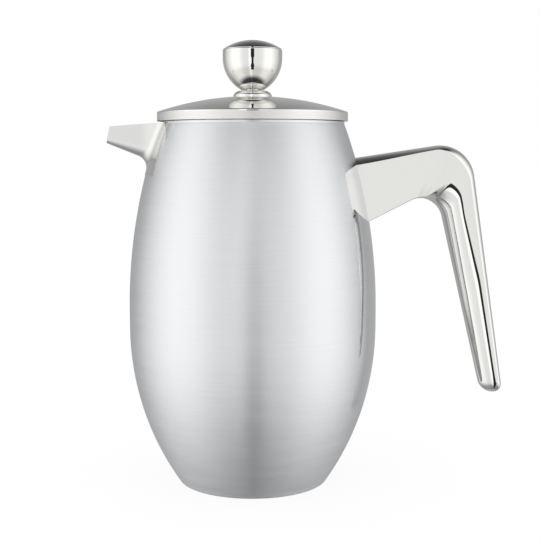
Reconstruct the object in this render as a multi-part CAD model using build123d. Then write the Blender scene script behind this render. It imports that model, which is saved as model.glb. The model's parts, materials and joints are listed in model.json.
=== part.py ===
"""Double-walled steel french press, pressed down and closed.

Millimetres, +Z up. The origin is the centre of the underside, on the vessel's axis.
The spout points along -X and the handle along +X.
"""

import os
from math import cos, radians, sin, sqrt

from build123d import *

CLEAR = 5.0  # how far a cutter runs past what it cuts

# vessel, outer shell: a bulb with two arcs and a short straight belly between them
BELLY_R = 46.94
BELLY_LOW_Z = 59.83
BELLY_HIGH_Z = 66.43
LOWER_ARC_R = 105.75
UPPER_ARC_R = 202.4
SHELL_WALL = 0.8
BASE_EDGE_R = 0.7
BASE_HOLE_R = 24.0
RIM_Z = 137.0
RIM_WALL = 0.8

# vessel, inner liner: a straight drawn cup, so that the filter seals all the way down
LINER_R = 31.25
LINER_WALL = 0.7
LINER_FLOOR_Z = 14.6
LINER_CORNER_R = 4.0
LIP_R = 1.0

# spout: an open trough through both walls, with a welded saddle on the shell
SPOUT_TIP_X = -54.7
TROUGH_END_X = SPOUT_TIP_X - 1.0  # the trough is made a little long, and the tip is cut off slanted
TROUGH_END_Z = 129.5
SPOUT_TIP_HALF_W = 3.6
SPOUT_TIP_TOP_Z = 135.2
SPOUT_TIP_LOW_Z = 129.1
SPOUT_ROOT_X = -28.0
SPOUT_ROOT_HALF_W = 13.4
SPOUT_ROOT_LOW_Z = 118.6
SPOUT_WALL = 0.9
SPOUT_TIP_LEAN = 13.0
SPOUT_BOTTOM_ROUND = 0.55  # the bottom corners' radius as a share of the half width
TIP_CUTTER = 30.0
SADDLE_WALL = 0.2
SEAM_X = (-41.0, -33.5)
SEAM_LONGEST = 12.0
SADDLE_HALF_DEG = 27.0
SADDLE_LOW_Z = 117.2
SPOUT_BLEND_R = 4.5

# handle: a flat-sided arm that turns down into a round tapered grip
ARM_TOP_ROOT = (32.0, 122.6)
ARM_LOW_ROOT = (34.0, 94.7)
ELBOW_OUT = (81.8, 130.1)
ELBOW_OUT_R = 13.0
ELBOW_IN = (69.4, 112.6)
ELBOW_IN_R = 9.0
TIP_OUT = (96.7, 32.1)
TIP_IN = (88.2, 33.1)
TIP_R = 4.1
ARM_HALF_W = 7.8
ARM_LOW_Z = 105.0
TIP_HALF_W = 4.6
HANDLE_EDGE_R = 3.0
PATCH_WALL = 1.2
PATCH_HALF_W = 12.0
PATCH_LOW_Z = 96.0
PATCH_HIGH_Z = 127.0

# lid: a domed cover over a flat plate, a slotted skirt and a clamped collar
BODY_GAP = 0.3
LID_LOW_Z = RIM_Z + BODY_GAP
LID_R = 35.85
LID_EDGE_Z = 140.6
LID_APEX_Z = 146.6
LID_EDGE_R = 0.3
LID_WALL = 0.7
PLATE_WALL = 0.6
PLATE_R = LID_R - LID_WALL
SKIRT_R = LINER_R - 0.35
SKIRT_WALL = 0.6
SKIRT_LOW_Z = 122.0
SLOT_COUNT = 7
SLOT_STEP_DEG = 10.0
SLOT_WIDTH = 2.4
SLOT_LOW_Z = 125.0
SLOT_HIGH_Z = 134.5
STEM_R = 4.0
STEM_END = 0.8  # how far the stem shows past the nut
COLLAR_TOP_R = 4.05
COLLAR_FOOT_R = 7.4
COLLAR_FOOT_Z = 146.9
COLLAR_TOP_Z = 148.7
SPACER_R = 6.0
SPACER_DROP = 0.2  # the dome's fall from its centre to the sleeve's edge
WASHER_R = 9.0
WASHER_T = 0.8
NUT_ACROSS = 13.0
NUT_T = 3.6

# plunger: rod, knob and filter stack
ROD_R = 2.4
RUNNING_FIT = 0.05
ROD_LOW_Z = 24.6
ROD_TOP_Z = 160.0
ROD_CHAMFER = 0.5
KNOB_LOW_Z = COLLAR_TOP_Z + BODY_GAP
KNOB_NECK_R = 4.3
KNOB_BELLY_R = 11.15
KNOB_BELLY_LOW_Z = 160.8
KNOB_BELLY_HIGH_Z = 163.9
KNOB_EDGE_R = 10.75
KNOB_EDGE_Z = 164.9
KNOB_APEX_Z = 167.4
KNOB_FLANK = (8.85, 153.4)
KNOB_HOLE_TOP_Z = 160.3
SHOULDER_R = 6.0
SHOULDER_T = 3.4
PLATE_T = 0.8
SPIRAL_HOLE_R = 2.2
SPIRAL_RINGS = ((11.0, 8), (18.0, 12), (24.5, 16))  # radius and number of holes
SCREEN_LOW_Z = 29.0
SCREEN_T = 0.5
SCREEN_R = 30.9
SCREEN_RIM_DROP = 1.5
COIL_R = 0.75
COIL_RING_R = 30.2
CROSS_LOW_Z = 24.0
CROSS_R = 29.3
CROSS_RIM_H = 2.6
CROSS_RING_R = 17.0
CROSS_HOLE_R = 6.5
CROSS_HOLES = 6
HUB_R = 6.0
HUB_TOP_Z = SCREEN_LOW_Z - BODY_GAP


def bulb_radius(z, inset=0.0):
    """The shell's radius at height z, moved inwards by inset."""
    if z < BELLY_LOW_Z:
        drop = BELLY_LOW_Z - z
        return BELLY_R - LOWER_ARC_R + sqrt((LOWER_ARC_R - inset) ** 2 - drop**2)
    if z > BELLY_HIGH_Z:
        rise = z - BELLY_HIGH_Z
        return BELLY_R - UPPER_ARC_R + sqrt((UPPER_ARC_R - inset) ** 2 - rise**2)
    return BELLY_R - inset


def bulb(inset, low_z, high_z):
    """A solid of the shell's outline, moved inwards by inset, from low_z to high_z."""

    def on_outline(z):
        return (bulb_radius(z, inset), z)

    low_mid = (low_z + BELLY_LOW_Z) / 2
    high_mid = (BELLY_HIGH_Z + high_z) / 2
    outline = [
        Line((0, high_z), (0, low_z)),
        Line((0, low_z), on_outline(low_z)),
        ThreePointArc(on_outline(low_z), on_outline(low_mid), on_outline(BELLY_LOW_Z)),
        Line(on_outline(BELLY_LOW_Z), on_outline(BELLY_HIGH_Z)),
        ThreePointArc(on_outline(BELLY_HIGH_Z), on_outline(high_mid), on_outline(high_z)),
        Line(on_outline(high_z), (0, high_z)),
    ]
    return revolve(Plane.XZ * make_face(outline), Axis.Z)


def turned(*points):
    """A ring turned about Z from the (radius, z) corners of its section."""
    section = make_face(Polyline(*points, close=True))
    return revolve(Plane.XZ * section, Axis.Z)


def tube(outer_r, inner_r, low_z, high_z):
    """A round tube on the axis."""
    return turned((inner_r, low_z), (outer_r, low_z), (outer_r, high_z), (inner_r, high_z))


def column(radius, low_z, high_z):
    """A solid cylinder on the axis."""
    return Pos(0, 0, low_z) * Cylinder(radius, high_z - low_z, align=(Align.CENTER, Align.CENTER, Align.MIN))


def edges_at(shape, radius, z):
    """The circular edges of the given radius at height z."""
    circles = shape.edges().filter_by(GeomType.CIRCLE)
    return [e for e in circles if abs(e.radius - radius) < 0.01 and abs(e.center().Z - z) < 0.01]


def trough_section(x, half_width, low_z, high_z):
    """A spout section at x: straight sides with a rounded bottom."""
    centre = (low_z + high_z) / 2
    section = Rectangle(2 * half_width, high_z - low_z)
    bottom = section.vertices().sort_by(Axis.Y)[:2]
    section = fillet(bottom, SPOUT_BOTTOM_ROUND * half_width)
    return Plane(origin=(x, 0, centre), x_dir=(0, 1, 0), z_dir=(1, 0, 0)) * section


def trough(wall, extra_top):
    """The spout's wedge, moved inwards by wall, with its open top raised by extra_top."""
    tip_top = SPOUT_TIP_TOP_Z + extra_top
    tip = trough_section(TROUGH_END_X, SPOUT_TIP_HALF_W - wall, TROUGH_END_Z + wall, tip_top)
    root = trough_section(SPOUT_ROOT_X, SPOUT_ROOT_HALF_W - wall, SPOUT_ROOT_LOW_Z + wall, RIM_Z + extra_top)
    return loft([tip, root])


def spout_sector(low_z):
    """A wedge of space around the spout, from low_z up."""
    side = BELLY_R * 2 * sin(radians(SADDLE_HALF_DEG))
    depth = BELLY_R * 2 * cos(radians(SADDLE_HALF_DEG))
    plan = make_face(Polyline((0, 0), (-depth, side), (-depth, -side), close=True))
    return extrude(Plane.XY.offset(low_z) * plan, RIM_Z - low_z)


def outer_shell():
    """The bulb-shaped skin, with a hole for the base disc and a notch for the spout."""
    top_z = RIM_Z - RIM_WALL
    skin = fillet(edges_at(bulb(0, 0, top_z), bulb_radius(0), 0), BASE_EDGE_R)
    skin -= bulb(SHELL_WALL, SHELL_WALL, top_z + CLEAR)
    skin -= Cylinder(BASE_HOLE_R, CLEAR)
    return skin - trough(0, CLEAR)


def base_disc():
    """The flat disc that closes the shell underneath."""
    return column(BASE_HOLE_R, 0, SHELL_WALL)


def inner_liner():
    """The drawn cup with its lip turned out over the shell's edge."""
    outer_r = LINER_R + LINER_WALL
    bottom_z = LINER_FLOOR_Z - LINER_WALL
    lip_r = bulb_radius(RIM_Z - RIM_WALL)
    cup = turned(
        (0, bottom_z), (outer_r, bottom_z), (outer_r, RIM_Z - RIM_WALL),
        (lip_r, RIM_Z - RIM_WALL), (lip_r, RIM_Z), (0, RIM_Z),
    )
    cup = fillet(edges_at(cup, outer_r, bottom_z), LINER_CORNER_R + LINER_WALL)
    hollow = column(LINER_R, LINER_FLOOR_Z, RIM_Z)
    hollow = fillet(edges_at(hollow, LINER_R, LINER_FLOOR_Z), LINER_CORNER_R)
    cup -= hollow
    cup = fillet(edges_at(cup, LINER_R, RIM_Z), LIP_R)
    behind_liner = trough(0, CLEAR) - column(outer_r, 0, LID_APEX_Z)
    return cup - trough(SPOUT_WALL, CLEAR) - behind_liner


def spout():
    """The trough, from the liner to the tip, with its saddle blended into the shell."""
    saddle = bulb(-SADDLE_WALL, 0, RIM_Z) & spout_sector(SADDLE_LOW_Z)
    wedge = trough(0, 0)
    body = wedge + saddle
    seam = [e for e in body.edges() if SEAM_X[0] < e.center().X < SEAM_X[1] and e.length < SEAM_LONGEST]
    body = fillet(seam, SPOUT_BLEND_R)
    inside = bulb(0, 0, RIM_Z)
    body = body - inside + (wedge & inside)
    body -= trough(SPOUT_WALL, CLEAR)
    body -= column(LINER_R + LINER_WALL, 0, LID_APEX_Z)
    tip_cut = Pos(SPOUT_TIP_X, 0, SPOUT_TIP_LOW_Z) * Rot(0, SPOUT_TIP_LEAN, 0)
    body -= tip_cut * Box(TIP_CUTTER, TIP_CUTTER, TIP_CUTTER, align=(Align.MAX, Align.CENTER, Align.CENTER))
    return body


def handle():
    """The cast handle, trimmed to the shell at its root."""
    side = make_face(Polyline(ARM_LOW_ROOT, ARM_TOP_ROOT, ELBOW_OUT, TIP_OUT, TIP_IN, ELBOW_IN, close=True))
    corners = {ELBOW_OUT: ELBOW_OUT_R, TIP_OUT: TIP_R, TIP_IN: TIP_R, ELBOW_IN: ELBOW_IN_R}
    for place, radius in corners.items():
        corner = side.vertices().sort_by_distance((*place, 0))[0]
        side = fillet(corner, radius)
    bar = extrude(Plane.XZ * side, ARM_HALF_W, both=True)
    bottom_z = TIP_OUT[1] - CLEAR
    front = make_face(Polyline(
        (-ARM_HALF_W, RIM_Z), (-ARM_HALF_W, ARM_LOW_Z), (-TIP_HALF_W, bottom_z),
        (TIP_HALF_W, bottom_z), (ARM_HALF_W, ARM_LOW_Z), (ARM_HALF_W, RIM_Z), close=True,
    ))
    bar &= extrude(Plane.YZ * front, TIP_OUT[0] + CLEAR)
    root_x = ARM_LOW_ROOT[0] + 1
    sides = [e for e in bar.edges() if abs(e.center().Y) > 1 and e.center().X > root_x]
    outline = [e for e in sides if abs(e.tangent_at(0.5).Y) < 0.9]
    bar = fillet(outline, HANDLE_EDGE_R)
    return bar - bulb(0, 0, RIM_Z - RIM_WALL)


def handle_patch():
    """The doubler plate inside the shell that the handle is welded through to."""
    lining = bulb(SHELL_WALL, 0, RIM_Z) - bulb(SHELL_WALL + PATCH_WALL, 0, RIM_Z)
    height = PATCH_HIGH_Z - PATCH_LOW_Z
    window = Box(BELLY_R, 2 * PATCH_HALF_W, height, align=(Align.MIN, Align.CENTER, Align.MIN))
    return lining & Pos(0, 0, PATCH_LOW_Z) * window


def lid_cover():
    """The polished dome with its upright rim."""
    inner_edge = LID_R - LID_WALL
    mid_r = LID_R / 2
    sphere_r = (LID_R**2 + (LID_APEX_Z - LID_EDGE_Z) ** 2) / (2 * (LID_APEX_Z - LID_EDGE_Z))

    def dome_z(radius, down):
        return LID_APEX_Z - sphere_r + sqrt((sphere_r - down) ** 2 - radius**2)

    top_arc = [(r, dome_z(r, 0)) for r in (STEM_R, mid_r, LID_R)]
    low_arc = [(r, dome_z(r, LID_WALL)) for r in (inner_edge, mid_r, STEM_R)]
    section = make_face([
        ThreePointArc(*top_arc),
        Polyline(top_arc[-1], (LID_R, LID_LOW_Z), (inner_edge, LID_LOW_Z), low_arc[0]),
        ThreePointArc(*low_arc),
        Line(low_arc[-1], top_arc[0]),
    ])
    cover = revolve(Plane.XZ * section, Axis.Z)
    return fillet(edges_at(cover, LID_R, dome_z(LID_R, 0)), LID_EDGE_R)


def lid_plate():
    """The flat plate under the dome."""
    low_z = LID_LOW_Z + PLATE_WALL
    return tube(PLATE_R, STEM_R, low_z, low_z + PLATE_WALL)


def lid_skirt():
    """The flanged skirt that centres the lid, with pour slots on the spout's side."""
    inner_r = SKIRT_R - SKIRT_WALL
    flange_top = LID_LOW_Z + PLATE_WALL
    skirt = turned(
        (inner_r, SKIRT_LOW_Z), (SKIRT_R, SKIRT_LOW_Z), (SKIRT_R, LID_LOW_Z),
        (PLATE_R, LID_LOW_Z), (PLATE_R, flange_top), (inner_r, flange_top),
    )
    slot = SlotCenterToCenter(SLOT_HIGH_Z - SLOT_LOW_Z - SLOT_WIDTH, SLOT_WIDTH)
    slot = Rot(0, 90, 0) * extrude(slot, CLEAR, both=True)
    for index in range(SLOT_COUNT):
        angle = 180 + (index - (SLOT_COUNT - 1) / 2) * SLOT_STEP_DEG
        place = Rot(0, 0, angle) * Pos(SKIRT_R, 0, (SLOT_LOW_Z + SLOT_HIGH_Z) / 2)
        skirt -= place * slot
    return skirt


def lid_collar():
    """The conical collar on the dome, with the stem that clamps the lid together."""
    bore_r = ROD_R + RUNNING_FIT
    stem_low = LID_LOW_Z + PLATE_WALL - WASHER_T - NUT_T - STEM_END
    return turned(
        (bore_r, stem_low), (STEM_R, stem_low), (STEM_R, LID_APEX_Z), (COLLAR_FOOT_R, LID_APEX_Z),
        (COLLAR_FOOT_R, COLLAR_FOOT_Z), (COLLAR_TOP_R, COLLAR_TOP_Z), (bore_r, COLLAR_TOP_Z),
    )


def lid_spacer():
    """The sleeve on the stem that holds the dome off the plate."""
    low_z = LID_LOW_Z + 2 * PLATE_WALL
    return tube(SPACER_R, STEM_R, low_z, LID_APEX_Z - LID_WALL - SPACER_DROP)


def lid_washer():
    """The washer under the plate."""
    top_z = LID_LOW_Z + PLATE_WALL
    return tube(WASHER_R, STEM_R, top_z - WASHER_T, top_z)


def lid_nut():
    """The hexagon nut on the stem."""
    top_z = LID_LOW_Z + PLATE_WALL - WASHER_T
    hexagon = RegularPolygon(NUT_ACROSS / 2, 6, major_radius=False) - Circle(STEM_R)
    return extrude(Plane.XY.offset(top_z - NUT_T) * hexagon, NUT_T)


def knob():
    """The goblet-shaped knob with its blind hole for the rod."""
    hole_r = ROD_R + RUNNING_FIT
    crown_h = KNOB_APEX_Z - KNOB_EDGE_Z
    crown_r = (KNOB_EDGE_R**2 + crown_h**2) / (2 * crown_h)
    mid_r = KNOB_EDGE_R / 2
    crown_mid = (mid_r, KNOB_APEX_Z - crown_r + sqrt(crown_r**2 - mid_r**2))
    outline = [
        Line((0, KNOB_LOW_Z), (KNOB_NECK_R, KNOB_LOW_Z)),
        ThreePointArc((KNOB_NECK_R, KNOB_LOW_Z), KNOB_FLANK, (KNOB_BELLY_R, KNOB_BELLY_LOW_Z)),
        Line((KNOB_BELLY_R, KNOB_BELLY_LOW_Z), (KNOB_BELLY_R, KNOB_BELLY_HIGH_Z)),
        Line((KNOB_BELLY_R, KNOB_BELLY_HIGH_Z), (KNOB_EDGE_R, KNOB_EDGE_Z)),
        ThreePointArc((KNOB_EDGE_R, KNOB_EDGE_Z), crown_mid, (0, KNOB_APEX_Z)),
        Line((0, KNOB_APEX_Z), (0, KNOB_LOW_Z)),
    ]
    return revolve(Plane.XZ * make_face(outline), Axis.Z) - column(hole_r, KNOB_LOW_Z, KNOB_HOLE_TOP_Z)


def plunger_rod():
    """The long polished rod."""
    rod = column(ROD_R, ROD_LOW_Z, ROD_TOP_Z)
    return chamfer(rod.edges().filter_by(GeomType.CIRCLE), ROD_CHAMFER)


def rod_shoulder():
    """The collar fixed on the rod above the filter."""
    low_z = SCREEN_LOW_Z + SCREEN_T + PLATE_T
    return tube(SHOULDER_R, ROD_R, low_z, low_z + SHOULDER_T)


def holes_on_ring(ring_r, hole_r, count, low_z):
    """Round cutters spaced evenly on a ring."""
    cutter = Pos(ring_r, 0, low_z) * Cylinder(hole_r, CLEAR)
    return [Rot(0, 0, 360 * k / count) * cutter for k in range(count)]


def spiral_plate():
    """The perforated disc above the filter screen."""
    low_z = SCREEN_LOW_Z + SCREEN_T
    plate = tube(COIL_RING_R - COIL_R, ROD_R, low_z, low_z + PLATE_T)
    for ring_r, count in SPIRAL_RINGS:
        plate -= holes_on_ring(ring_r, SPIRAL_HOLE_R, count, low_z)
    return plate


def edge_spring():
    """The envelope of the coil that runs round the plate's edge."""
    return Pos(0, 0, SCREEN_LOW_Z + SCREEN_T + PLATE_T) * Torus(COIL_RING_R, COIL_R)


def filter_screen():
    """The fine mesh disc with its edge turned down."""
    low_z = SCREEN_LOW_Z
    top_z = low_z + SCREEN_T
    return turned(
        (ROD_R, low_z), (SCREEN_R - SCREEN_T, low_z), (SCREEN_R - SCREEN_T, low_z - SCREEN_RIM_DROP),
        (SCREEN_R, low_z - SCREEN_RIM_DROP), (SCREEN_R, top_z), (ROD_R, top_z),
    )


def cross_plate():
    """The dished bottom plate with its six large holes."""
    plate = turned(
        (ROD_R + RUNNING_FIT, CROSS_LOW_Z), (CROSS_R, CROSS_LOW_Z), (CROSS_R, CROSS_LOW_Z + CROSS_RIM_H),
        (CROSS_R - PLATE_T, CROSS_LOW_Z + CROSS_RIM_H), (CROSS_R - PLATE_T, CROSS_LOW_Z + PLATE_T),
        (ROD_R + RUNNING_FIT, CROSS_LOW_Z + PLATE_T),
    )
    return plate - holes_on_ring(CROSS_RING_R, CROSS_HOLE_R, CROSS_HOLES, CROSS_LOW_Z)


def cross_hub():
    """The threaded hub fixed on the bottom plate."""
    return tube(HUB_R, ROD_R + RUNNING_FIT, CROSS_LOW_Z + PLATE_T, HUB_TOP_Z)


MAKERS = [
    outer_shell, base_disc, inner_liner, spout, handle, handle_patch,
    lid_cover, lid_plate, lid_skirt, lid_collar, lid_spacer, lid_washer, lid_nut,
    knob, plunger_rod, rod_shoulder, spiral_plate, edge_spring, filter_screen,
    cross_plate, cross_hub,
]
os.makedirs("parts", exist_ok=True)
for make in MAKERS:
    export_step(make(), f"parts/{make.__name__}.step")
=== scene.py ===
"""The looks of a double-walled steel french press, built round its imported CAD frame.

Metres, +Z up. The vessel's axis is the Z axis, the spout points along -X and the handle along +X.
"""

import json
from math import asin, cos, degrees, pi, radians, sin, tan

import bpy
from mathutils import Matrix, Vector

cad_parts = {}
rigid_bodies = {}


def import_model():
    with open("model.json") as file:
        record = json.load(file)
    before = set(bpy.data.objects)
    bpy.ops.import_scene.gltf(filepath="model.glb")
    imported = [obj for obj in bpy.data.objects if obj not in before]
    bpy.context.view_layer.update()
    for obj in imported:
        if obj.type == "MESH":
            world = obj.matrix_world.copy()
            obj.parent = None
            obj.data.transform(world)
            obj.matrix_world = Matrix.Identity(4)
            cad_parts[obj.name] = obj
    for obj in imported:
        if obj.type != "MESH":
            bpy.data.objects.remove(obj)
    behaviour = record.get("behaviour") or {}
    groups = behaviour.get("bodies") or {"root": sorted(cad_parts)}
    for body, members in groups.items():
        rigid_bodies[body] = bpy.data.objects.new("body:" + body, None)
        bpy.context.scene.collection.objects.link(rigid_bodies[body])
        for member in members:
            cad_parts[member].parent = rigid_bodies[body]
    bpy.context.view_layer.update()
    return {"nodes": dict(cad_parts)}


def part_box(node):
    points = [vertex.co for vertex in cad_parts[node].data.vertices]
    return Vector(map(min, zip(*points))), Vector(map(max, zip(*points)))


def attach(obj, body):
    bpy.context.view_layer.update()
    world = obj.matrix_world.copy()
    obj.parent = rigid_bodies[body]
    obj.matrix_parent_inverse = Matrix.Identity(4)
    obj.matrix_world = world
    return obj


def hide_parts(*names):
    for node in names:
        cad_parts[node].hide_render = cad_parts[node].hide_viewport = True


bl_info = {
    "name": "Steel French Press",
    "version": (1, 0, 0),
    "blender": (4, 5, 0),
    "location": "3D View > Sidebar > French Press",
    "description": "Polished and brushed steel pieces for a double-walled french press",
    "category": "Object",
}

MM = 0.001

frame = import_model()
NODES = frame["nodes"]

# zones of finish, in metres and degrees round the axis
STRIP_DEG = 34.5
STRIP_LOW_Z = 0.030
STRIP_HIGH_Z = 0.1235
PATCH_DEG = 39.0
PATCH_Z = 0.137
PATCH_HEIGHT = 0.0135
RIM_TOP_Z = 0.1403
RIM_ROUGHNESS = 0.36
WEAVE_PITCH = 0.0005

# brightness of the surroundings: by degrees away from the front, below the horizon and above it behind
SOFT_BOXES = (
    (0, 1.03), (12, 1.02), (20, 1.0), (28, 1.02), (36, 1.05), (45, 1.17), (54, 1.33), (83, 1.36),
    (94, 1.2), (106, 1.01), (121, 0.78), (139, 0.46), (186, 0.45),
)
FLOOR_FALL = ((0, 1.0), (20, 1.0), (35, 0.82), (42, 0.60), (55, 0.38), (70, 0.28), (90, 0.24))
BACKDROP = ((0, 0.47), (18, 0.43), (30, 0.33), (42, 0.16), (58, 0.07), (90, 0.04))
WEST_GLOW = 0.40
STUDIO_TINT = (0.975, 0.99, 1.0)
LOW_GAP = (7.4, 4.2)
HIGH_GAP = 6.8
GAP_LIGHT = 0.03
SKY_ON_FLOOR = 1.2
FLOOR_GLOW = 0.89
FLOOR_SHADOW = 0.13

# the handle's profile, as (x, z) in millimetres
ARM_TOP_ROOT = (37.0, 123.35)
ARM_LOW_ROOT = (42.5, 99.0)
ELBOW_OUT = (81.8, 130.1)
ELBOW_OUT_R = 13.0
ELBOW_IN = (69.4, 112.6)
ELBOW_IN_R = 9.0
TIP_OUT = (96.7, 32.1)
TIP_IN = (88.2, 33.1)
TIP_DEPTH = 4.6
GRIP_MIDDLE = (80.0, 85.0)
ARM_LOW_Z = 105.0
ARM_HALF_W = 7.8
TIP_HALF_W = 4.6

# the handle's section: roundings in millimetres, places as shares of its way
ELBOW_START = 0.5
ELBOW_END = 0.75
ARM_INNER_ROUND = (0.5, 1.0)
GRIP_INNER_ROUND = 9.6
INNER_ROUND_START = 0.575
INNER_ROUND_LENGTH = 0.08
INNER_SHARE = 0.78
ARM_OUTER_DOME = (2.6, 1.7)
OUTER_FILL = 0.95
OUTER_DOME_LENGTH = 0.18
EDGE_START = 0.47
EDGE_LENGTH = 0.1
EDGE_DEG = (36.0, 89.0)
TIP_LEAST = 0.02

# the turned pieces, in millimetres
KNOB_BORE_Z = 160.5
KNOB_NECK_R = 4.3
KNOB_WIDE_Z = 160.8
KNOB_SHOULDER_Z = 163.4
KNOB_CROWN_R = 10.95
KNOB_CROWN_Z = 164.05
COVER_HOLE_R = 3.9
COVER_TOP_Z = 146.6
COVER_EDGE_Z = 140.6
COVER_EDGE_R = 0.45
COVER_WALL = 0.7
RIM_LOOP = 0.15
COLLAR_IN = 4.4
COLLAR_WIDE = 2.9
COLLAR_FOOT = 146.38
COLLAR_TALL = 2.32
BORE_R = 2.45
STEM_R = 4.0

# the edge spring, in metres
SPRING_WIRE = 0.00013
SPRING_CLEAR = 0.00001
SPRING_LEAN_DEG = 14.0
SPRING_TURNS = 132

# how finely shapes are divided
SMOOTH_DEG = 30.0
HALF_SECTION = 14
ARM_STEPS = 14
ELBOW_STEPS = 56
GRIP_STEPS = 26
TIP_STEPS = 10
LATHE_STEPS = 128
DOME_STEPS = 30
EDGE_STEPS = 8
RING_SEGMENTS = 16
WIRE_SEGMENTS = 6


# ---------------------------------------------------------------- selecting and modelling


def deselect_all():
    """Leave nothing selected and nothing active, in object mode."""
    if bpy.context.object and bpy.context.object.mode != "OBJECT":
        bpy.ops.object.mode_set(mode="OBJECT")
    bpy.ops.object.select_all(action="DESELECT")


def name_piece(piece, name):
    """Give an object and its mesh the same name."""
    piece.name = name
    piece.data.name = name
    return piece


def settle(piece, body, slot, *nodes):
    """Ride on a body and stand for CAD nodes; the slot it is given is not used."""
    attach(piece, body)
    if nodes:
        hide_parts(*nodes)
    return piece


def lathe(name, outline, steps):
    """Turn an open outline of (radius, z) points round the Z axis into a smooth closed shell."""
    deselect_all()
    radius, height = outline[0]
    bpy.ops.mesh.primitive_plane_add(size=MM)
    piece = name_piece(bpy.context.object, name)
    bpy.ops.object.mode_set(mode="EDIT")
    bpy.ops.mesh.select_all(action="SELECT")
    bpy.ops.mesh.merge(type="CENTER")
    bpy.ops.transform.translate(value=(radius, 0, height))
    for (r0, z0), (r1, z1) in zip(outline, outline[1:]):
        bpy.ops.mesh.extrude_region_move(TRANSFORM_OT_translate={"value": (r1 - r0, 0, z1 - z0)})
    bpy.ops.mesh.select_all(action="SELECT")
    bpy.ops.mesh.spin(steps=steps, angle=2 * pi, center=(0, 0, 0), axis=(0, 0, 1))
    bpy.ops.mesh.select_all(action="SELECT")
    bpy.ops.mesh.remove_doubles(threshold=1e-6)
    bpy.ops.mesh.normals_make_consistent(inside=False)
    bpy.ops.object.mode_set(mode="OBJECT")
    bpy.ops.object.shade_smooth_by_angle(angle=radians(SMOOTH_DEG))
    return piece


def arc(centre, radius, start_deg, end_deg, steps):
    """Points along an arc, from one angle to another."""
    angles = [radians(start_deg + (end_deg - start_deg) * k / steps) for k in range(steps + 1)]
    return [(centre[0] + radius * cos(a), centre[1] + radius * sin(a)) for a in angles]


# ---------------------------------------------------------------- shader expressions


class Value:
    """A shader socket that can be used in arithmetic."""

    def __init__(self, tree, socket):
        self.tree = tree
        self.socket = socket

    def node(self, kind, settings=None, inputs=None, output=0):
        """Add a node, set its properties, then its sockets, and return one of its outputs."""
        made = self.tree.nodes.new(kind)
        for key, value in (settings or {}).items():
            if key == "stops":
                set_stops(made.color_ramp, value)
            else:
                setattr(made, key, value)
        for key, value in (inputs or {}).items():
            self.feed(made.inputs[key], value)
        return Value(self.tree, made.outputs[output])

    def feed(self, socket, value):
        """Link a value to a socket, or set the socket's own number."""
        if isinstance(value, Value):
            self.tree.links.new(value.socket, socket)
        else:
            socket.default_value = value

    def maths(self, operation, *values, clamp=False):
        settings = {"operation": operation, "use_clamp": clamp}
        return self.node("ShaderNodeMath", settings, dict(enumerate(values)))

    def __add__(self, other):
        return self.maths("ADD", self, other)

    def __radd__(self, other):
        return self.maths("ADD", other, self)

    def __sub__(self, other):
        return self.maths("SUBTRACT", self, other)

    def __rsub__(self, other):
        return self.maths("SUBTRACT", other, self)

    def __mul__(self, other):
        return self.maths("MULTIPLY", self, other)

    def __rmul__(self, other):
        return self.maths("MULTIPLY", other, self)

    def mix_colours(self, factor, first, second):
        """A colour that goes from the first to the second."""
        mixed = self.node("ShaderNodeMix", {"data_type": "RGBA"}, {"Factor": factor}, "Result").socket.node
        mixed.inputs[6].default_value = (*first, 1.0)
        mixed.inputs[7].default_value = (*second, 1.0)
        return Value(self.tree, mixed.outputs[2])

    def absolute(self):
        """The value without its sign."""
        return self.maths("ABSOLUTE", self)

    def smooth(self, low, high, start=0.0, end=1.0):
        """Rise smoothly from start to end as this value goes from low to high."""
        inputs = {"Value": self, "From Min": low, "From Max": high, "To Min": start, "To Max": end}
        return self.node("ShaderNodeMapRange", {"interpolation_type": "SMOOTHSTEP"}, inputs)


def set_stops(ramp, stops):
    """Give a colour ramp these (place, colour) stops."""
    while len(ramp.elements) > 1:
        ramp.elements.remove(ramp.elements[-1])
    for index, (place, colour) in enumerate(stops):
        element = ramp.elements[0] if index == 0 else ramp.elements.new(place)
        element.position = place
        element.color = (*colour, 1.0)


def new_material(name):
    """A material with a Principled shader; returns it, its shader node and a maker of nodes."""
    material = bpy.data.materials.new(name)
    material.use_nodes = True
    tree = material.node_tree
    tree.nodes.clear()
    shader = tree.nodes.new("ShaderNodeBsdfPrincipled")
    output = tree.nodes.new("ShaderNodeOutputMaterial")
    tree.links.new(shader.outputs["BSDF"], output.inputs["Surface"])
    return material, shader, Value(tree, None)


def object_place(maker):
    """The piece's own coordinates."""
    return maker.node("ShaderNodeTexCoord", output="Object")


def noise(maker, place, scale, detail=3.0, stretch=(1, 1, 1), output="Fac"):
    """Noise of a given scale on coordinates that are stretched first."""
    mapped = maker.node("ShaderNodeMapping", inputs={"Vector": place, "Scale": stretch})
    inputs = {"Vector": mapped, "Scale": scale, "Detail": detail}
    return maker.node("ShaderNodeTexNoise", inputs=inputs, output=output)


# ---------------------------------------------------------------- finishes


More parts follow.
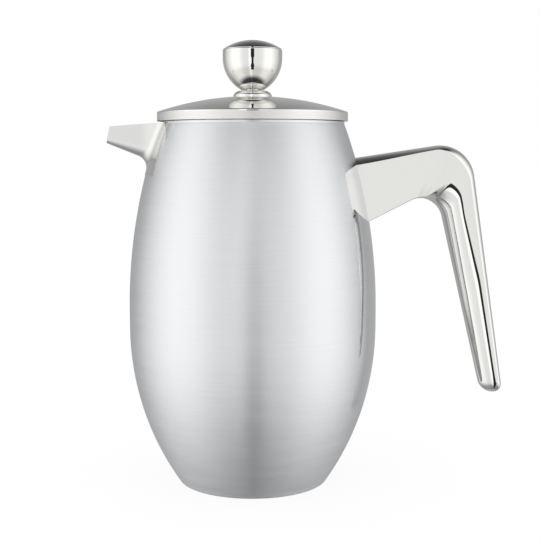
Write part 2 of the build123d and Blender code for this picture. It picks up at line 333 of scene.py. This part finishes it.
def brushed_steel(look):
    """Satin steel brushed round the axis, polished by the handle's joint and round the spout."""
    material, shader, maker = new_material("brushed_steel_round")
    place = object_place(maker)
    fine = noise(maker, place, 60.0, 4.0, (1, 1, 90))
    broad = noise(maker, place, 25.0, 2.0, (1, 1, 12))
    shade = fine * 0.65 + broad * 0.35
    polish = polished_zones(maker, place)
    brushed = shade.smooth(0.25, 0.75, look.brushed_roughness - 0.05, look.brushed_roughness + 0.05)
    maker.feed(shader.inputs["Roughness"], brushed + polish * (look.polished_roughness - brushed))
    light, dark = look.brushed_colour, [0.93 * channel for channel in look.brushed_colour]
    maker.feed(shader.inputs["Base Color"], maker.mix_colours(shade.smooth(0.3, 0.7), dark, light))
    shader.inputs["Metallic"].default_value = 1.0
    shader.inputs["Anisotropic"].default_value = look.brushed_anisotropy
    shader.inputs["Anisotropic Rotation"].default_value = 0.25
    lines = fine * (1.0 - polish)
    bump = maker.node("ShaderNodeBump", inputs={"Height": lines, "Strength": 0.08, "Distance": 0.0002})
    maker.feed(shader.inputs["Normal"], bump)
    return material


def polished_zones(maker, place):
    """One where the shell is polished: a strip under the handle and a patch round the spout."""
    parts = maker.node("ShaderNodeSeparateXYZ", inputs={0: place}).socket.node
    x, y, z = (Value(maker.tree, parts.outputs[axis]) for axis in "XYZ")
    turn = maker.maths("ARCTAN2", y, x).absolute() * (180 / pi)
    strip = turn.smooth(STRIP_DEG - 0.6, STRIP_DEG + 0.6, 1.0, 0.0)
    strip = strip * z.smooth(STRIP_HIGH_Z - 0.004, STRIP_HIGH_Z, 1.0, 0.0)
    strip = strip * z.smooth(STRIP_LOW_Z, STRIP_LOW_Z + 0.006)
    across = (turn - 180.0) * (1 / PATCH_DEG)
    upward = (z - PATCH_Z) * (1 / PATCH_HEIGHT)
    patch = maker.maths("SQRT", across * across + upward * upward).smooth(0.92, 1.0, 1.0, 0.0)
    return maker.maths("MAXIMUM", strip, patch)


def wiped(marks, look):
    """The polished pieces' roughness, a little blurred where they were wiped."""
    return marks.smooth(0.35, 0.75, look.polished_roughness, look.polished_roughness + 0.03)


def mirror_steel(look):
    """Mirror-polished steel with faint wiping marks."""
    material, shader, maker = new_material("mirror_steel")
    place = object_place(maker)
    marks = noise(maker, place, 45.0, 3.0, (1, 1, 2.5))
    shader.inputs["Base Color"].default_value = (*look.polished_colour, 1)
    shader.inputs["Metallic"].default_value = 1.0
    maker.feed(shader.inputs["Roughness"], wiped(marks, look))
    return material


def lid_steel(look):
    """Mirror-polished dome with a satin rim."""
    material, shader, maker = new_material("polished_dome_steel")
    place = object_place(maker)
    parts = maker.node("ShaderNodeSeparateXYZ", inputs={0: place}).socket.node
    rim = Value(maker.tree, parts.outputs["Z"]).smooth(RIM_TOP_Z - 0.0003, RIM_TOP_Z, 1.0, 0.0)
    marks = noise(maker, place, 45.0, 3.0, (1, 1, 2.5))
    polished = wiped(marks, look)
    shader.inputs["Base Color"].default_value = (*look.polished_colour, 1)
    shader.inputs["Metallic"].default_value = 1.0
    maker.feed(shader.inputs["Roughness"], polished + rim * RIM_ROUGHNESS)
    return material


def spout_steel(look):
    """Softly polished steel, rougher at the lip; its colour is lighter towards the shell, a painted highlight
    where the spout flows into the shell.
    """
    material, shader, maker = new_material("soft_polished_steel")
    place = object_place(maker)
    parts = maker.node("ShaderNodeSeparateXYZ", inputs={0: place}).socket.node
    x = Value(maker.tree, parts.outputs["X"])
    grain = noise(maker, place, 90.0, 3.0)
    tip = x.smooth(-0.0425, -0.037, 1.0, 0.0)
    # the colour near the shell is a painted highlight, lighter than the lip's colour
    bright = [0.93 * channel for channel in look.polished_colour]
    maker.feed(shader.inputs["Base Color"], maker.mix_colours(tip, bright, look.spout_colour))
    shader.inputs["Metallic"].default_value = 1.0
    maker.feed(shader.inputs["Roughness"], grain.smooth(0.3, 0.7, 0.10, 0.14) + tip * 0.08)
    return material


def plain_satin_steel(look):
    """Plain satin steel for the insides."""
    material, shader, maker = new_material("plain_satin_steel")
    place = object_place(maker)
    grain = noise(maker, place, 1500.0, 2.0)
    shader.inputs["Base Color"].default_value = (*look.satin_colour, 1)
    shader.inputs["Metallic"].default_value = 1.0
    maker.feed(shader.inputs["Roughness"], grain.smooth(0.3, 0.7, 0.29, 0.33))
    return material


def woven_mesh(look):
    """Fine woven wire cloth: bright threads over openings painted near-black, painted shade for what the holes
    show.
    """
    material, shader, maker = new_material("woven_mesh_cloth")
    parts = maker.node("ShaderNodeSeparateXYZ", inputs={0: object_place(maker)}).socket.node
    x, y = (Value(maker.tree, parts.outputs[axis]) for axis in "XY")
    turns = pi / WEAVE_PITCH
    weave = maker.maths("SINE", x * turns).absolute() * maker.maths("SINE", y * turns).absolute()
    thread = [0.95 * channel for channel in look.satin_colour]
    # painted shade: the openings between the threads are coloured near-black for the dark seen through the
    # holes
    openings = weave.smooth(0.35, 0.8)
    maker.feed(shader.inputs["Base Color"], maker.mix_colours(openings, thread, (0.10, 0.10, 0.10)))
    shader.inputs["Metallic"].default_value = 1.0
    maker.feed(shader.inputs["Roughness"], weave.smooth(0.2, 0.8, 0.30, 0.60))
    bump = maker.node("ShaderNodeBump", inputs={"Height": 1.0 - weave, "Strength": 0.5, "Distance": 0.0002})
    maker.feed(shader.inputs["Normal"], bump)
    return material


def give(piece, material):
    """Make this the piece's only material."""
    piece.data.materials.clear()
    piece.data.materials.append(material)


def finish_of(name, maker):
    """The finish of that name, made once."""
    found = bpy.data.materials.get(name)
    return found or maker(bpy.context.scene.press_looks)


# ---------------------------------------------------------------- settings


class PressLooks(bpy.types.PropertyGroup):
    """Finishes."""

    brushed_colour: bpy.props.FloatVectorProperty(
        name="Brushed steel", description="Colour of the brushed shell", subtype="COLOR",
        default=(0.80, 0.80, 0.81), min=0, max=1)
    brushed_roughness: bpy.props.FloatProperty(
        name="Brushed roughness", description="Blur of the brushed shell", default=0.42, min=0, max=1)
    brushed_anisotropy: bpy.props.FloatProperty(
        name="Brushed stretch", description="How far the brushing stretches a reflection",
        default=0.6, min=0, max=1)
    polished_colour: bpy.props.FloatVectorProperty(
        name="Polished steel", description="Colour of the polished pieces", subtype="COLOR",
        default=(0.77, 0.755, 0.73), min=0, max=1)
    polished_roughness: bpy.props.FloatProperty(
        name="Polished roughness", description="Blur of the polished pieces", default=0.025, min=0, max=1)
    spout_colour: bpy.props.FloatVectorProperty(
        name="Spout steel", description="Colour of the spout's soft polish", subtype="COLOR",
        default=(0.62, 0.615, 0.60), min=0, max=1)
    satin_colour: bpy.props.FloatVectorProperty(
        name="Satin steel", description="Colour of the plain inner pieces", subtype="COLOR",
        default=(0.74, 0.74, 0.74), min=0, max=1)


class PressStudio(bpy.types.PropertyGroup):
    """Camera and studio."""

    camera_distance: bpy.props.FloatProperty(
        name="Camera distance", description="From the vessel's axis", default=0.413, unit="LENGTH")
    camera_height: bpy.props.FloatProperty(
        name="Camera height", description="Above the floor", default=0.1266, unit="LENGTH")
    camera_pitch: bpy.props.FloatProperty(
        name="Camera tilt", description="Downwards", default=radians(6.31), unit="ROTATION")
    camera_pan: bpy.props.FloatProperty(
        name="Camera pan", description="To the right", default=radians(0.91), unit="ROTATION")
    camera_lens: bpy.props.FloatProperty(
        name="Lens", description="Focal length in millimetres on a 36 mm sensor", default=72.4, min=10)


# ---------------------------------------------------------------- operators


class PRESS_OT_studio(bpy.types.Operator):
    """Add the floor, the soft surroundings and the camera"""

    bl_idname = "press.studio"
    bl_label = "Studio"

    def execute(self, context):
        studio = context.scene.press_studio
        deselect_all()
        bpy.ops.mesh.primitive_plane_add(size=6.0)
        floor = name_piece(context.object, "studio_floor")
        give(floor, floor_finish())
        floor.visible_glossy = False
        context.scene.world = surroundings()
        context.scene.view_settings.view_transform = "Standard"
        add_camera(studio)
        return {"FINISHED"}


def add_camera(studio):
    """The camera at its measured place."""
    place = (0, -studio.camera_distance, studio.camera_height)
    turn = (pi / 2 - studio.camera_pitch, 0, -studio.camera_pan)
    bpy.ops.object.camera_add(location=place, rotation=turn)
    camera = bpy.context.object
    camera.name = "studio_camera"
    camera.data.lens = studio.camera_lens
    camera.data.sensor_width = 36.0
    camera.data.clip_start = 0.01
    bpy.context.scene.camera = camera


def floor_finish():
    """A pale floor with hardly any shadow."""
    material, shader, maker = new_material("pale_floor")
    tree = material.node_tree
    output = next(node for node in tree.nodes if node.type == "OUTPUT_MATERIAL")
    shader.inputs["Base Color"].default_value = (0.8, 0.8, 0.8, 1)
    shader.inputs["Roughness"].default_value = 1.0
    shader.inputs["Specular IOR Level"].default_value = 0.0
    glow = maker.node("ShaderNodeEmission", inputs={"Color": (1, 1, 1, 1), "Strength": FLOOR_GLOW})
    plain = Value(tree, shader.outputs["BSDF"])
    black = maker.node("ShaderNodeEmission", inputs={"Strength": 0.0})
    faint = maker.node("ShaderNodeMixShader", inputs={"Fac": FLOOR_SHADOW, 1: black, 2: plain})
    lit = maker.node("ShaderNodeAddShader", inputs={0: glow, 1: faint})
    tree.links.new(lit.socket, output.inputs["Surface"])
    return material


def ramp_of(maker, place, stops, top):
    """A number read from (place, value) stops, the last place and value being the largest used."""
    reach = max(at for at, _ in stops)
    colours = [(at / reach, (value / top,) * 3) for at, value in stops]
    return maker.node("ShaderNodeValToRGB", {"stops": colours}, {"Fac": place * (1 / reach)}) * top


def surroundings():
    """White to the eye; to the steel, tall soft boxes with a narrow dark gap at the front.

    Heights and bearings are in degrees, bearings from the front, positive towards the handle's side.
    """
    world = bpy.data.worlds.new("soft_studio")
    world.use_nodes = True
    tree = world.node_tree
    tree.nodes.clear()
    maker = Value(tree, None)
    direction = maker.node("ShaderNodeTexCoord", output="Generated")
    parts = maker.node("ShaderNodeSeparateXYZ", inputs={0: direction}).socket.node
    east, north, up = (Value(tree, parts.outputs[axis]) for axis in "XYZ")
    height = maker.maths("ARCSINE", up) * (180 / pi)
    bearing = maker.maths("ARCTAN2", east, -1.0 * north) * (180 / pi)
    away = bearing.absolute()
    side = ramp_of(maker, away + bearing.smooth(20.0, 90.0, 0.0, 6.0), SOFT_BOXES, 1.4)
    side = side + away.smooth(10.0, 18.0, WEST_GLOW, 0.0) * bearing.smooth(-5.0, 3.0, 1.0, 0.0)
    side = side * height.smooth(36.0, 60.0, 1.0, 0.06) * ramp_of(maker, -1.0 * height, FLOOR_FALL, 1.0)
    back = ramp_of(maker, maker.maths("MAXIMUM", height, 0.0), BACKDROP, 1.0)
    behind = away.smooth(118.0, 145.0)
    light = side + behind * (back - side)
    low_gap = height.smooth(-26.0, -16.0, *LOW_GAP)
    half_gap = low_gap + height.smooth(-3.0, 3.0) * (HIGH_GAP - low_gap)
    gap = (away - half_gap).smooth(-0.8, 0.8, 1.0, 0.0) * height.smooth(11.0, 15.0, 1.0, 0.0)
    light = light + gap * (GAP_LIGHT - light)
    steel_sees = maker.node("ShaderNodeBackground", inputs={"Color": (*STUDIO_TINT, 1), "Strength": light})
    floor_sees = maker.node("ShaderNodeBackground", inputs={"Color": (1, 1, 1, 1), "Strength": SKY_ON_FLOOR})
    eye_sees = maker.node("ShaderNodeBackground", inputs={"Color": (1, 1, 1, 1), "Strength": 1.0})
    path = maker.node("ShaderNodeLightPath").socket.node
    diffuse, camera = (Value(tree, path.outputs[name]) for name in ("Is Diffuse Ray", "Is Camera Ray"))
    mixed = maker.node("ShaderNodeMixShader", inputs={"Fac": diffuse, 1: steel_sees, 2: floor_sees})
    mixed = maker.node("ShaderNodeMixShader", inputs={"Fac": camera, 1: mixed, 2: eye_sees})
    output = tree.nodes.new("ShaderNodeOutputWorld")
    tree.links.new(mixed.socket, output.inputs["Surface"])
    return world


# ---------------------------------------------------------------- the handle's shape


def rounded_corner(start, corner, end, radius, steps):
    """Points round a corner's fillet, and where it starts and ends."""
    start, corner, end = (Vector(point) for point in (start, corner, end))
    to_start, to_end = (start - corner).normalized(), (end - corner).normalized()
    half = to_start.angle(to_end) / 2
    reach = radius / tan(half)
    centre = corner + (to_start + to_end).normalized() * (radius / sin(half))
    first, last = corner + to_start * reach - centre, corner + to_end * reach - centre
    sweep = first.angle_signed(last)
    points = []
    for step in range(steps + 1):
        turn = Matrix.Rotation(-sweep * step / steps, 2)
        points.append(centre + turn @ first)
    return points


def blend_value(amount, first, second):
    """Between two numbers."""
    return first + (second - first) * amount


def ease(amount):
    """A smooth step from 0 to 1."""
    amount = min(max(amount, 0.0), 1.0)
    return amount * amount * (3 - 2 * amount)


def handle_stations():
    """(inner point, outer point, share of the way) down to where the rounded tip begins."""
    tip_in, tip_out = Vector(TIP_IN), Vector(TIP_OUT)
    outer = rounded_corner(ARM_TOP_ROOT, ELBOW_OUT, tip_out, ELBOW_OUT_R, ELBOW_STEPS)
    inner = rounded_corner(ARM_LOW_ROOT, ELBOW_IN, tip_in, ELBOW_IN_R, ELBOW_STEPS)
    stations = []
    for step in range(ARM_STEPS):
        amount = step / ARM_STEPS
        low, high = Vector(ARM_LOW_ROOT).lerp(inner[0], amount), Vector(ARM_TOP_ROOT).lerp(outer[0], amount)
        stations.append((low, high, amount * ELBOW_START))
    for step in range(ELBOW_STEPS + 1):
        stations.append((inner[step], outer[step], blend_value(step / ELBOW_STEPS, ELBOW_START, ELBOW_END)))
    first = inner[-1].lerp(tip_in, 1 / GRIP_STEPS)
    keep = 1 - TIP_DEPTH / (tip_in - first).length
    for step in range(1, GRIP_STEPS + 1):
        amount = keep * step / GRIP_STEPS
        low, high = inner[-1].lerp(tip_in, amount), outer[-1].lerp(tip_out, amount)
        stations.append((low, high, blend_value(amount, ELBOW_END, 1.0)))
    return stations


def handle_ring(low, high, along):
    """One closed section of the handle, as points in space, in millimetres."""
    across = (high - low).length
    up = (high - low) / across
    taper = min(max((ARM_LOW_Z - low.lerp(high, 0.5).y) / (ARM_LOW_Z - TIP_OUT[1]), 0.0), 1.0)
    half = blend_value(taper, ARM_HALF_W, TIP_HALF_W)
    inner = blend_value(min(along / ELBOW_START, 1.0), *ARM_INNER_ROUND)
    inner += GRIP_INNER_ROUND * ease((along - INNER_ROUND_START) / INNER_ROUND_LENGTH)
    inner = min(inner, across * INNER_SHARE)
    outer = blend_value(ease(along / ELBOW_START), *ARM_OUTER_DOME)
    grip_dome = across * (1 - INNER_SHARE) * OUTER_FILL
    outer = blend_value(ease((along - ELBOW_START) / OUTER_DOME_LENGTH), outer, grip_dome)
    edge = radians(blend_value(ease((along - EDGE_START) / EDGE_LENGTH), *EDGE_DEG))
    half_points = []
    for step in range(HALF_SECTION + 1):
        turn = (pi / 2) * step / HALF_SECTION
        half_points.append((inner * (1 - cos(turn)), half * sin(turn)))
    for step in range(HALF_SECTION, -1, -1):
        turn = edge * step / HALF_SECTION
        rise = outer * (1 - cos(turn)) / (1 - cos(edge))
        half_points.append((across - rise, half * sin(turn) / sin(edge)))
    whole = half_points + [(a, -v) for a, v in reversed(half_points[1:-1])]
    return [(low.x + up.x * a, v, low.y + up.y * a) for a, v in whole]


def tip_rings(low, high, ring):
    """The last rings, which close the rounded end under the grip."""
    centre = low.lerp(high, 0.5)
    down = (centre - Vector(GRIP_MIDDLE)).normalized()
    rings = []
    for step in range(1, TIP_STEPS + 1):
        turn = (pi / 2) * step / TIP_STEPS
        shrink = max(cos(turn), TIP_LEAST)
        middle = centre + down * TIP_DEPTH * sin(turn)
        rings.append([
            (middle.x + (x - centre.x) * shrink, y * shrink, middle.y + (z - centre.y) * shrink)
            for x, y, z in ring
        ])
    return rings


class PRESS_OT_handle(bpy.types.Operator):
    """Model the welded handle, a flat arm that turns down into a rounded grip"""

    bl_idname = "press.handle"
    bl_label = "Handle"

    def execute(self, context):
        stations = handle_stations()
        rings = [handle_ring(*station) for station in stations]
        rings += tip_rings(stations[-1][0], stations[-1][1], rings[-1])
        piece = skin(rings, "welded_handle")
        settle(piece, "vessel", "polished_steel", "handle")
        give(piece, finish_of("mirror_steel", mirror_steel))
        return {"FINISHED"}


def skin(rings, name):
    """A closed surface through rings of points, given in millimetres."""
    deselect_all()
    around, along = len(rings[0]), len(rings)
    bpy.ops.mesh.primitive_grid_add(x_subdivisions=around, y_subdivisions=along - 1, size=MM)
    piece = name_piece(bpy.context.object, name)
    for index, vertex in enumerate(piece.data.vertices):
        ring, place = divmod(index, around + 1)
        vertex.co = Vector(rings[ring][place % around]) * MM
    bpy.ops.object.mode_set(mode="EDIT")
    bpy.ops.mesh.select_all(action="SELECT")
    bpy.ops.mesh.remove_doubles(threshold=1e-6)
    bpy.ops.mesh.select_all(action="DESELECT")
    bpy.ops.mesh.select_non_manifold()
    bpy.ops.mesh.edge_face_add()
    bpy.ops.mesh.select_all(action="SELECT")
    bpy.ops.mesh.normals_make_consistent(inside=False)
    bpy.ops.object.mode_set(mode="OBJECT")
    bpy.ops.object.shade_smooth_by_angle(angle=radians(SMOOTH_DEG))
    return piece


class PRESS_OT_collar(bpy.types.Operator):
    """Model the domed collar on the lid, with its stem down to the nut"""

    bl_idname = "press.collar"
    bl_label = "Lid collar"

    def execute(self, context):
        low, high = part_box("lid_collar")
        dome = arc((COLLAR_IN, COLLAR_FOOT), 1.0, 0, 90, 14)
        dome = [
            (COLLAR_IN + (r - COLLAR_IN) * COLLAR_WIDE, COLLAR_FOOT + (z - COLLAR_FOOT) * COLLAR_TALL)
            for r, z in dome
        ]
        foot, top = low[2] / MM, high[2] / MM
        outline = [(BORE_R, foot), (STEM_R, foot), (STEM_R, COLLAR_FOOT), *dome, (BORE_R, top), (BORE_R, foot)]
        revolve("domed_collar", outline, "lid", "lid_collar", finish_of("mirror_steel", mirror_steel))
        return {"FINISHED"}


def revolve(name, outline, body, node, finish):
    """Lathe an outline given in millimetres and let it stand for a node."""
    piece = lathe(name, [(r * MM, z * MM) for r, z in outline], LATHE_STEPS)
    settle(piece, body, "polished_steel", node)
    give(piece, finish)


class PRESS_OT_knob(bpy.types.Operator):
    """Model the cup-shaped knob with its shallow crown"""

    bl_idname = "press.knob"
    bl_label = "Knob"

    def execute(self, context):
        low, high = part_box("knob")
        foot, apex, wide = low[2] / MM, high[2] / MM, high[0] / MM
        crown_rise = apex - KNOB_CROWN_Z
        crown_r = (KNOB_CROWN_R ** 2 + crown_rise ** 2) / (2 * crown_rise)
        spread = degrees(asin(KNOB_CROWN_R / crown_r))
        flank_r = ((wide - KNOB_NECK_R) ** 2 + (KNOB_WIDE_Z - foot) ** 2) / (2 * (wide - KNOB_NECK_R))
        fall = degrees(asin((KNOB_WIDE_Z - foot) / flank_r))
        outline = [(0, KNOB_BORE_Z), (BORE_R, KNOB_BORE_Z), (BORE_R, foot)]
        outline += arc((wide - flank_r, KNOB_WIDE_Z), flank_r, -fall, 0, 40)
        outline += arc((wide - 0.6, KNOB_SHOULDER_Z), 0.6, 0, 50, 8)
        outline += arc((0, apex - crown_r), crown_r, 90 - spread, 90, 24)
        revolve("cup_knob", outline, "knob", "knob", finish_of("mirror_steel", mirror_steel))
        return {"FINISHED"}


class PRESS_OT_cover(bpy.types.Operator):
    """Model the domed lid cover with its thin rim"""

    bl_idname = "press.cover"
    bl_label = "Lid cover"

    def execute(self, context):
        low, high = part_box("lid_cover")
        foot, apex, wide = low[2] / MM, high[2] / MM, high[0] / MM
        rise = apex - COVER_EDGE_Z
        dome_r = (wide ** 2 + rise ** 2) / (2 * rise)
        lean = degrees(asin((wide - COVER_EDGE_R) / dome_r))
        lift = COVER_TOP_Z - dome_r
        hole = degrees(asin(COVER_HOLE_R / dome_r))
        top = arc((0, lift), dome_r, 90 - hole, 90 - lean, DOME_STEPS)
        centre = (wide - COVER_EDGE_R, top[-1][1] - COVER_EDGE_R)
        edge = arc(centre, COVER_EDGE_R, 90 - lean / 2, 0, EDGE_STEPS)
        under = arc((0, lift), dome_r - COVER_WALL, 90 - lean, 90 - hole, DOME_STEPS)
        outside = [(wide, centre[1] - RIM_LOOP), (wide, foot + RIM_LOOP), (wide, foot)]
        inside = [(wide - COVER_WALL, foot), (wide - COVER_WALL, under[0][1])]
        outline = top + edge + outside + inside + under + [top[0]]
        finish = finish_of("polished_dome_steel", lid_steel)
        revolve("domed_cover", outline, "lid", "lid_cover", finish)
        return {"FINISHED"}


class PRESS_OT_vessel(bpy.types.Operator):
    """Finish the vessel's shell, liner, base and spout"""

    bl_idname = "press.vessel"
    bl_label = "Vessel"

    def execute(self, context):
        give(NODES["outer_shell"], finish_of("brushed_steel_round", brushed_steel))
        for node in ("base_disc", "inner_liner", "handle_patch"):
            give(NODES[node], finish_of("plain_satin_steel", plain_satin_steel))
        give(NODES["spout"], finish_of("soft_polished_steel", spout_steel))
        return {"FINISHED"}


class PRESS_OT_lid(bpy.types.Operator):
    """Finish the lid"""

    bl_idname = "press.lid"
    bl_label = "Lid"

    def execute(self, context):
        for node in ("lid_nut", "lid_washer", "lid_spacer"):
            give(NODES[node], finish_of("mirror_steel", mirror_steel))
        for node in ("lid_plate", "lid_skirt"):
            give(NODES[node], finish_of("plain_satin_steel", plain_satin_steel))
        return {"FINISHED"}


class PRESS_OT_plunger(bpy.types.Operator):
    """Finish the rod and filter"""

    bl_idname = "press.plunger"
    bl_label = "Plunger"

    def execute(self, context):
        for node in ("plunger_rod", "rod_shoulder", "cross_hub"):
            give(NODES[node], finish_of("mirror_steel", mirror_steel))
        for node in ("spiral_plate", "cross_plate"):
            give(NODES[node], finish_of("plain_satin_steel", plain_satin_steel))
        give(NODES["filter_screen"], finish_of("woven_mesh_cloth", woven_mesh))
        return {"FINISHED"}


class PRESS_OT_spring(bpy.types.Operator):
    """Wind the coil spring round the filter's edge, one leaning turn copied all the way round"""

    bl_idname = "press.spring"
    bl_label = "Edge spring"

    def execute(self, context):
        low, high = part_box("edge_spring")
        coil = (high[2] - low[2]) / 2
        place = (high[0] - coil, 0, (low[2] + high[2]) / 2)
        deselect_all()
        bpy.ops.mesh.primitive_torus_add(
            location=place, rotation=(pi / 2 + radians(SPRING_LEAN_DEG), 0, 0),
            major_segments=RING_SEGMENTS, minor_segments=WIRE_SEGMENTS,
            major_radius=coil - SPRING_WIRE - SPRING_CLEAR, minor_radius=SPRING_WIRE)
        bpy.ops.object.transform_apply(location=True, rotation=True, scale=True)
        bpy.ops.object.shade_smooth()
        piece = name_piece(context.object, "coil_spring")
        for _ in range(SPRING_TURNS - 1):
            bpy.ops.object.duplicate()
            bpy.ops.transform.rotate(value=2 * pi / SPRING_TURNS, orient_axis="Z", center_override=(0, 0, 0))
            bpy.ops.object.transform_apply(location=True, rotation=True, scale=True)
        for turn in list(context.scene.objects):
            turn.select_set(turn.name.startswith("coil_spring"))
        context.view_layer.objects.active = piece
        bpy.ops.object.join()
        settle(piece, "plunger", "spring_steel", "edge_spring")
        give(piece, finish_of("mirror_steel", mirror_steel))
        return {"FINISHED"}


class PRESS_PT_panel(bpy.types.Panel):
    """The press's pieces"""

    bl_idname = "PRESS_PT_panel"
    bl_label = "French Press"
    bl_space_type = "VIEW_3D"
    bl_region_type = "UI"
    bl_category = "French Press"

    def draw(self, context):
        for operator in STEPS:
            self.layout.operator(operator.bl_idname)


STEPS = (
    PRESS_OT_studio, PRESS_OT_vessel, PRESS_OT_handle, PRESS_OT_lid, PRESS_OT_cover, PRESS_OT_collar,
    PRESS_OT_knob, PRESS_OT_plunger, PRESS_OT_spring,
)
CLASSES = (PressLooks, PressStudio, *STEPS, PRESS_PT_panel)


def register():
    for item in CLASSES:
        bpy.utils.register_class(item)
    bpy.types.Scene.press_looks = bpy.props.PointerProperty(type=PressLooks)
    bpy.types.Scene.press_studio = bpy.props.PointerProperty(type=PressStudio)


def unregister():
    del bpy.types.Scene.press_studio
    del bpy.types.Scene.press_looks
    for item in reversed(CLASSES):
        bpy.utils.unregister_class(item)


def main():
    register()
    bpy.ops.press.studio()
    bpy.ops.press.vessel()
    bpy.ops.press.handle()
    bpy.ops.press.lid()
    bpy.ops.press.cover()
    bpy.ops.press.collar()
    bpy.ops.press.knob()
    bpy.ops.press.plunger()
    bpy.ops.press.spring()


if __name__ == "__main__":
    main()
